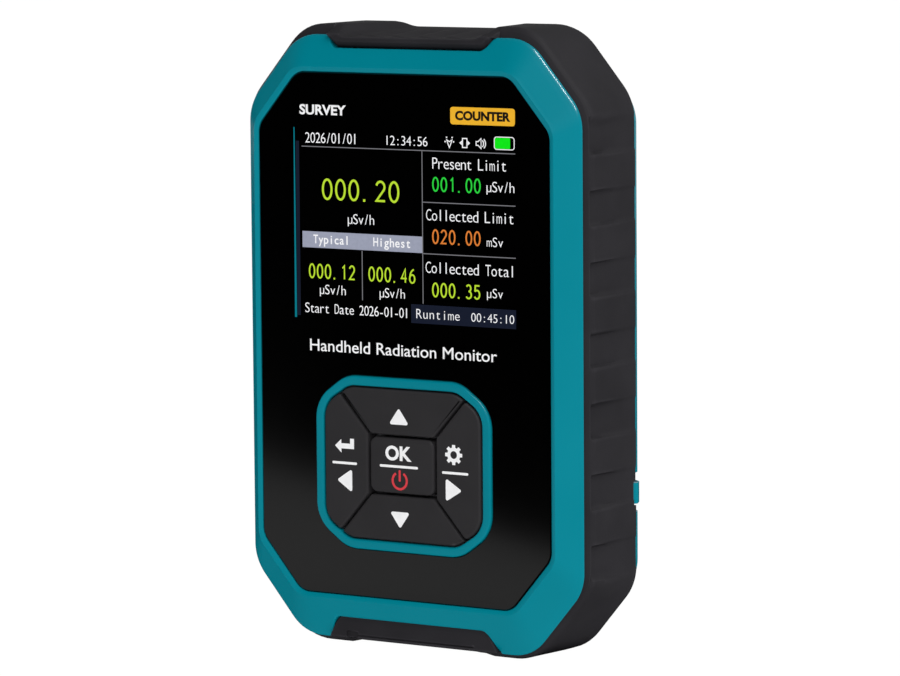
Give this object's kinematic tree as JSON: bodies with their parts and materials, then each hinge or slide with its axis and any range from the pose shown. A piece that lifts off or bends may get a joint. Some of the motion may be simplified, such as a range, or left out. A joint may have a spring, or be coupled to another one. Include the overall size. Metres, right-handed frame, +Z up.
{
  "type": "pocket geiger counter",
  "caption": "Hand-held radiation detector: teal two-part case in a rubber bumper, black front panel with colour display, arrow keypad and a glass counting tube inside.",
  "frame": {"origin": "bottom centre of the case's bounding box, on the surface that it stands on", "axes": "+Z up along the case, +Y from the display towards the back, +X to the right seen from the front"},
  "size_m": [0.078, 0.027, 0.1204],
  "materials": {
    "teal_shell": "satin moulded plastic",
    "bumper_rubber": "matt, fine moulded grain",
    "lens_black": "polished acrylic printed black behind",
    "key_rubber": "soft satin",
    "adhesive": "film tape",
    "grey_silicone": "matt silicone",
    "display_glass": "polished",
    "black_foam": "foam",
    "white_plastic": "plain",
    "ribbon_film": "thin film",
    "cream_plastic": "plain",
    "board_green": "solder mask",
    "screw_steel": "plated",
    "chip_black": "moulded",
    "ferrite": "ground",
    "blue_ceramic": "dipped coating",
    "detector_glass": "clear",
    "cathode_metal": "satin",
    "cap_metal": "satin",
    "spring_brass": "satin",
    "cell_foil": "foil",
    "lead_red": "wire insulation",
    "speaker_black": "plain",
    "weight_metal": "sintered",
    "dark_screw": "black plated",
    "switch_grey": "plain",
    "legend_white": "printed",
    "legend_red": "printed",
    "badge_orange": "printed",
    "badge_black": "printed",
    "screen_white": "lit display",
    "screen_grey": "lit display",
    "screen_rule": "lit display",
    "screen_battery": "lit display",
    "screen_green": "lit display",
    "screen_lime": "lit display",
    "screen_orange": "lit display",
    "screen_teal": "lit display",
    "screen_navy": "lit display"
  },
  "bodies": {
    "case": {"front_frame": "teal_shell", "bumper": "bumper_rubber", "rear_shell": "teal_shell", "lens_panel": "lens_black", "lens_tape": "adhesive", "keypad_bezel": "teal_shell", "switch_up": "switch_grey", "switch_down": "switch_grey", "switch_left": "switch_grey", "switch_right": "switch_grey", "switch_ok": "switch_grey", "keypad_mat": "grey_silicone", "lcd_glass": "display_glass", "lcd_gasket": "black_foam", "lcd_backlight": "white_plastic", "lcd_pad": "black_foam", "lcd_ribbon": "ribbon_film", "ribbon_connector": "cream_plastic", "main_board": "board_green", "board_screws": "screw_steel", "processor_chip": "chip_black", "power_chips": "chip_black", "hv_transformer": "ferrite", "hv_capacitors": "blue_ceramic", "usb_shell": "screw_steel", "usb_tongue": "chip_black", "tube_glass": "detector_glass", "tube_cathode": "cathode_metal", "tube_anode": "cathode_metal", "tube_caps": "cap_metal", "tube_clips": "spring_brass", "tube_cushions": "black_foam", "battery_cell": "cell_foil", "battery_tape": "adhesive", "battery_leads": "lead_red", "battery_plug": "white_plastic", "battery_socket": "cream_plastic", "speaker": "speaker_black", "speaker_gasket": "black_foam", "motor_can": "cap_metal", "motor_cradle": "grey_silicone", "shell_gasket": "black_foam", "shell_inserts": "spring_brass", "shell_screws": "dark_screw"},
    "key_up_body": {"key_up": "key_rubber", "plunger_up": "cream_plastic"},
    "key_down_body": {"key_down": "key_rubber", "plunger_down": "cream_plastic"},
    "key_left_body": {"key_left": "key_rubber", "plunger_left": "cream_plastic"},
    "key_right_body": {"key_right": "key_rubber", "plunger_right": "cream_plastic"},
    "key_ok_body": {"key_ok": "key_rubber", "plunger_ok": "cream_plastic"},
    "motor_rotor": {"motor_shaft": "screw_steel", "motor_weight": "weight_metal"}
  },
  "joints": [
    {"name": "key_up_press", "type": "slide", "parent": "case", "child": "key_up_body", "axis": [0, 1, 0], "range_m": [0, 0.0006], "stiffness_N_per_m": 2000},
    {"name": "key_down_press", "type": "slide", "parent": "case", "child": "key_down_body", "axis": [0, 1, 0], "range_m": [0, 0.0006], "stiffness_N_per_m": 2000},
    {"name": "key_left_press", "type": "slide", "parent": "case", "child": "key_left_body", "axis": [0, 1, 0], "range_m": [0, 0.0006], "stiffness_N_per_m": 2000},
    {"name": "key_right_press", "type": "slide", "parent": "case", "child": "key_right_body", "axis": [0, 1, 0], "range_m": [0, 0.0006], "stiffness_N_per_m": 2000},
    {"name": "key_ok_press", "type": "slide", "parent": "case", "child": "key_ok_body", "axis": [0, 1, 0], "range_m": [0, 0.0006], "stiffness_N_per_m": 2000},
    {"name": "motor_spin", "type": "hinge", "parent": "case", "child": "motor_rotor", "pos_m": [0.0264, 0.0004, 0.045], "axis": [0, 0, 1], "continuous": true}
  ]
}
